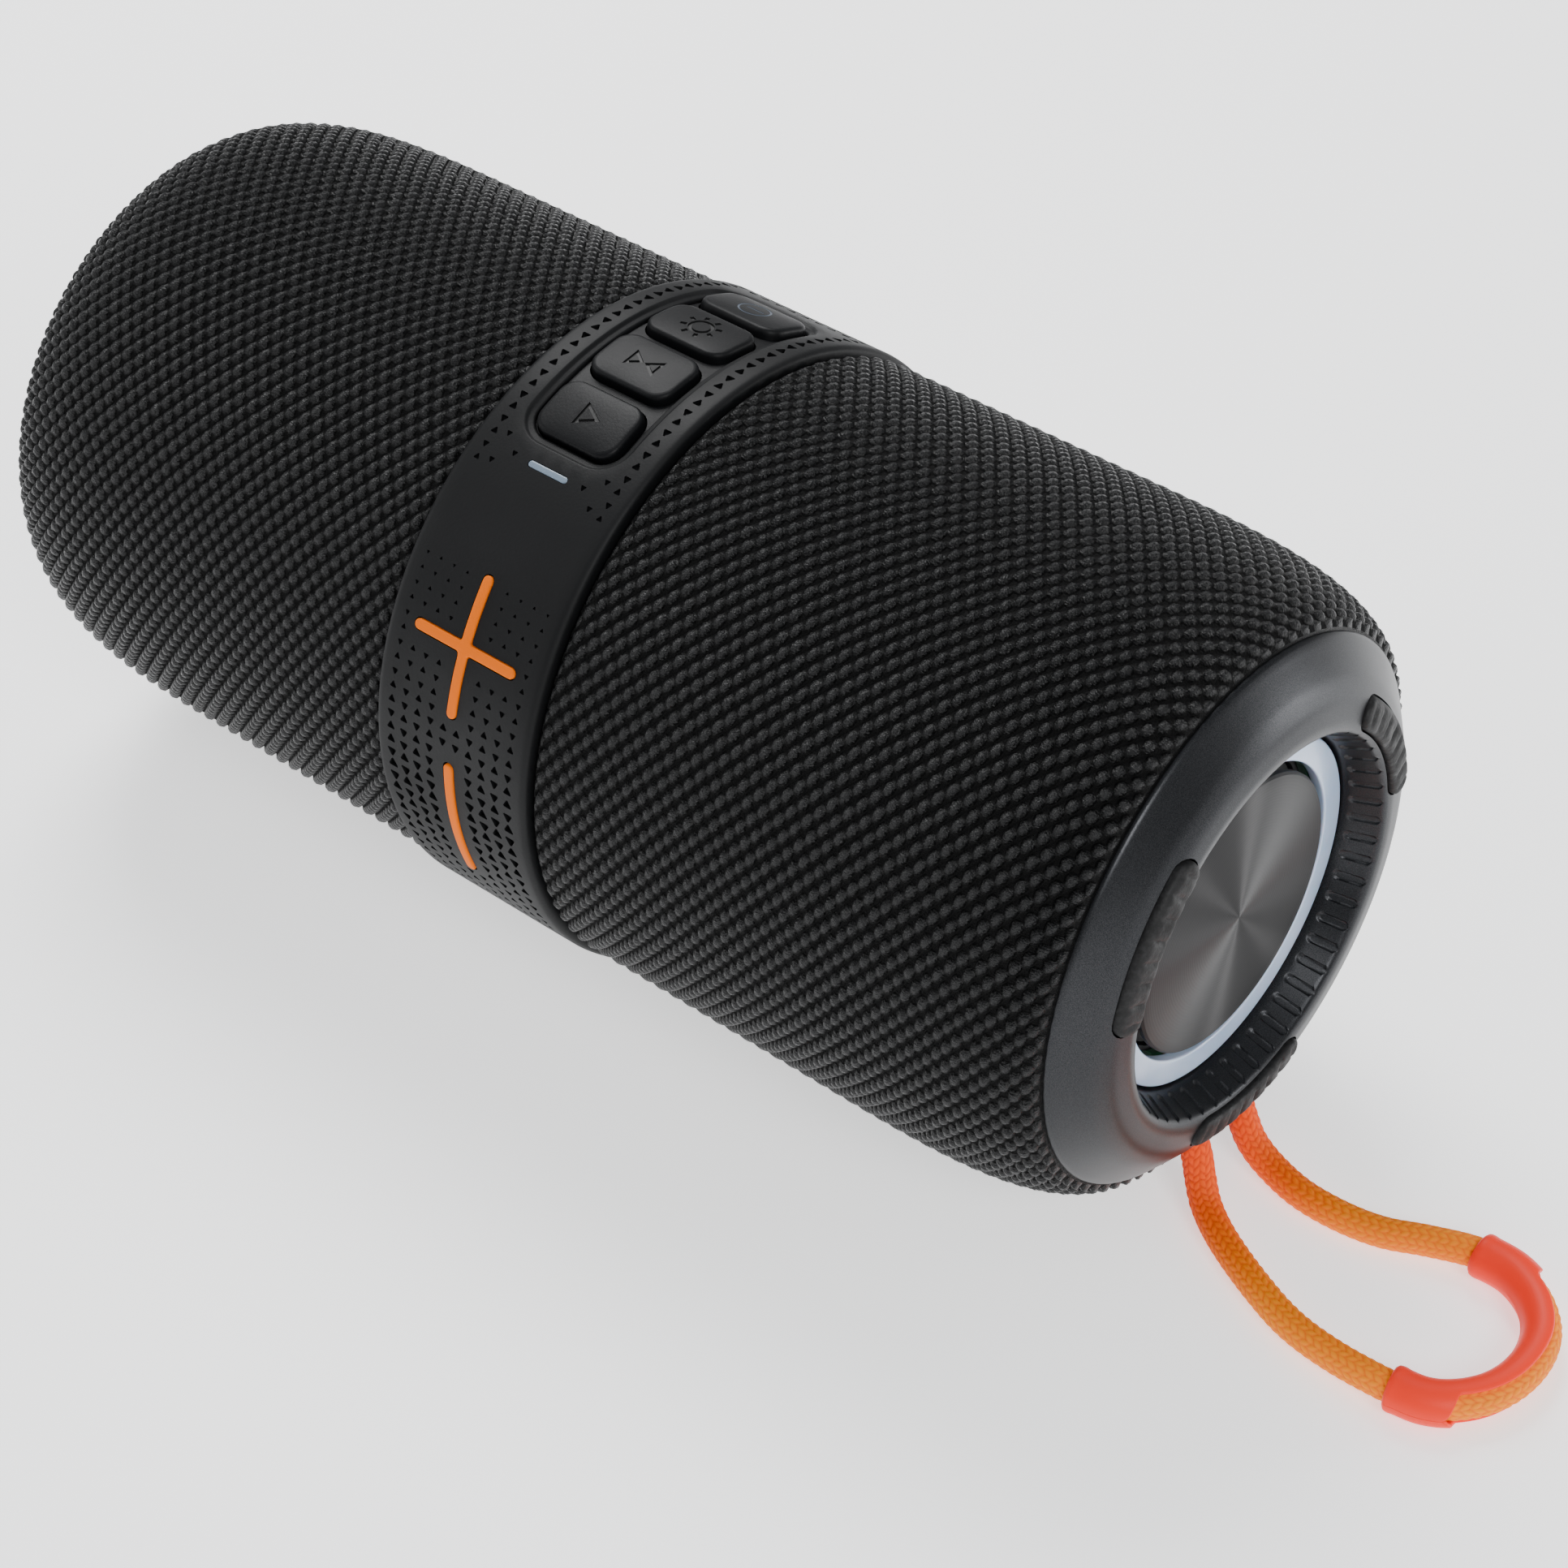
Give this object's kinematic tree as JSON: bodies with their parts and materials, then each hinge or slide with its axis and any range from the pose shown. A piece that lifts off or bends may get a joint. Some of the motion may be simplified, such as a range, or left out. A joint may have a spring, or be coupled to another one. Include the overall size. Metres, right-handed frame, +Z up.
{
  "type": "portable bluetooth speaker",
  "caption": "Portable barrel speaker lying on its side: knit cover, rubber control belt with keys, end radiators with light rings, and an orange lanyard loop.",
  "frame": {"origin": "on the floor, under the middle of the barrel", "axes": "+X along the barrel towards the lanyard end, +Z up towards the buttons, -Y towards the front with the volume keys"},
  "size_m": [0.2427, 0.0903, 0.0917],
  "materials": {
    "core_plastic": "matte moulded black plastic",
    "screw_steel": "plated steel",
    "switch_steel": "plated steel dome switches",
    "knit_fabric": "coarse black knit mesh with small glossy loops",
    "belt_rubber": "matte black moulded rubber with small triangular dimples",
    "button_rubber": "matte black rubber, pressed icons",
    "foot_rubber": "ribbed matte dark rubber",
    "orange_rubber": "matte orange rubber",
    "status_diffuser": "pale blue translucent light bar",
    "ring_diffuser": "pale blue translucent light ring",
    "circuit_board": "solder-masked board",
    "cap_metal": "satin dark grey, fine grain",
    "disc_aluminium": "dark anodised, turned face",
    "surround_rubber": "soft black rubber roll",
    "driver_steel": "black coated pressed steel",
    "magnet_iron": "sintered magnet with plates",
    "cone_paper": "coated pulp cone with rubber surround",
    "battery_wrap": "shrink-wrapped cylindrical cell; aluminium stands in for its average density",
    "braided_cord": "orange braided cord",
    "sleeve_rubber": "satin coral moulded sleeve"
  },
  "bodies": {
    "root": {"core_front": "core_plastic", "core_rear": "core_plastic", "end_plate_right": "core_plastic", "end_plate_left": "core_plastic", "battery_cradle": "core_plastic", "core_screw_1": "screw_steel", "core_screw_2": "screw_steel", "core_screw_3": "screw_steel", "core_screw_4": "screw_steel", "lanyard_bar": "screw_steel", "charging_socket": "screw_steel", "button_switch_1": "switch_steel", "button_switch_2": "switch_steel", "button_switch_3": "switch_steel", "button_switch_4": "switch_steel", "fabric_right": "knit_fabric", "fabric_left": "knit_fabric", "control_belt": "belt_rubber", "keypad_frame": "belt_rubber", "base_foot_front": "foot_rubber", "base_foot_rear": "foot_rubber", "end_foot_right_1": "foot_rubber", "end_foot_right_2": "foot_rubber", "end_foot_right_3": "foot_rubber", "end_foot_left_1": "foot_rubber", "end_foot_left_2": "foot_rubber", "end_foot_left_3": "foot_rubber", "status_window": "status_diffuser", "light_ring_right": "ring_diffuser", "light_ring_left": "ring_diffuser", "button_board": "circuit_board", "port_board": "circuit_board", "main_board": "circuit_board", "light_board_right": "circuit_board", "light_board_left": "circuit_board", "end_cap_right": "cap_metal", "end_cap_left": "cap_metal", "radiator_surround_right": "surround_rubber", "radiator_surround_left": "surround_rubber", "driver_basket_right": "driver_steel", "driver_basket_left": "driver_steel", "driver_magnet_right": "magnet_iron", "driver_magnet_left": "magnet_iron", "battery_cell_upper": "battery_wrap", "battery_cell_lower": "battery_wrap", "lanyard_cord": "braided_cord", "lanyard_sleeve": "sleeve_rubber"},
    "play_button": {"play_button": "button_rubber"},
    "pairing_button": {"pairing_button": "button_rubber"},
    "light_button": {"light_button": "button_rubber"},
    "power_button": {"power_button": "button_rubber"},
    "volume_up_key": {"volume_up_key": "orange_rubber"},
    "volume_down_key": {"volume_down_key": "orange_rubber"},
    "port_flap": {"port_flap": "belt_rubber"},
    "radiator_disc_right": {"radiator_disc_right": "disc_aluminium"},
    "radiator_disc_left": {"radiator_disc_left": "disc_aluminium"},
    "driver_cone_right": {"driver_cone_right": "cone_paper"},
    "driver_cone_left": {"driver_cone_left": "cone_paper"}
  },
  "joints": [
    {"name": "play_button_press", "type": "slide", "parent": "root", "child": "play_button", "axis": [0, 0.3559, -0.9345], "range_m": [0, 0.0005], "stiffness_N_per_m": 600, "springref_m": -0.0005},
    {"name": "pairing_button_press", "type": "slide", "parent": "root", "child": "pairing_button", "axis": [0, 0.121, -0.9927], "range_m": [0, 0.0005], "stiffness_N_per_m": 600, "springref_m": -0.0005},
    {"name": "light_button_press", "type": "slide", "parent": "root", "child": "light_button", "axis": [0, -0.121, -0.9927], "range_m": [0, 0.0005], "stiffness_N_per_m": 600, "springref_m": -0.0005},
    {"name": "power_button_press", "type": "slide", "parent": "root", "child": "power_button", "axis": [0, -0.3559, -0.9345], "range_m": [0, 0.0005], "stiffness_N_per_m": 600, "springref_m": -0.0005},
    {"name": "volume_up_key_press", "type": "slide", "parent": "root", "child": "volume_up_key", "axis": [0, 0.8988, -0.4384], "range_m": [0, 0.0004], "stiffness_N_per_m": 600, "springref_m": -0.0005},
    {"name": "volume_down_key_press", "type": "slide", "parent": "root", "child": "volume_down_key", "axis": [0, 0.989, 0.1478], "range_m": [0, 0.0004], "stiffness_N_per_m": 600, "springref_m": -0.0005},
    {"name": "port_flap_hinge", "type": "hinge", "parent": "root", "child": "port_flap", "pos_m": [0, 0.04038, 0.02626], "axis": [-1, 0, 0], "range_deg": [0, 100], "stiffness_Nm_per_rad": 0.003, "springref_deg": -5.73},
    {"name": "radiator_right_travel", "type": "slide", "parent": "root", "child": "radiator_disc_right", "axis": [1, 0, 0], "range_m": [-0.002, 0.002], "stiffness_N_per_m": 1500},
    {"name": "radiator_left_travel", "type": "slide", "parent": "root", "child": "radiator_disc_left", "axis": [-1, 0, 0], "range_m": [-0.002, 0.002], "stiffness_N_per_m": 1500},
    {"name": "driver_cone_right_travel", "type": "slide", "parent": "root", "child": "driver_cone_right", "axis": [0, -1, 0], "range_m": [-0.001, 0.001], "stiffness_N_per_m": 1200},
    {"name": "driver_cone_left_travel", "type": "slide", "parent": "root", "child": "driver_cone_left", "axis": [0, -1, 0], "range_m": [-0.001, 0.001], "stiffness_N_per_m": 1200}
  ]
}
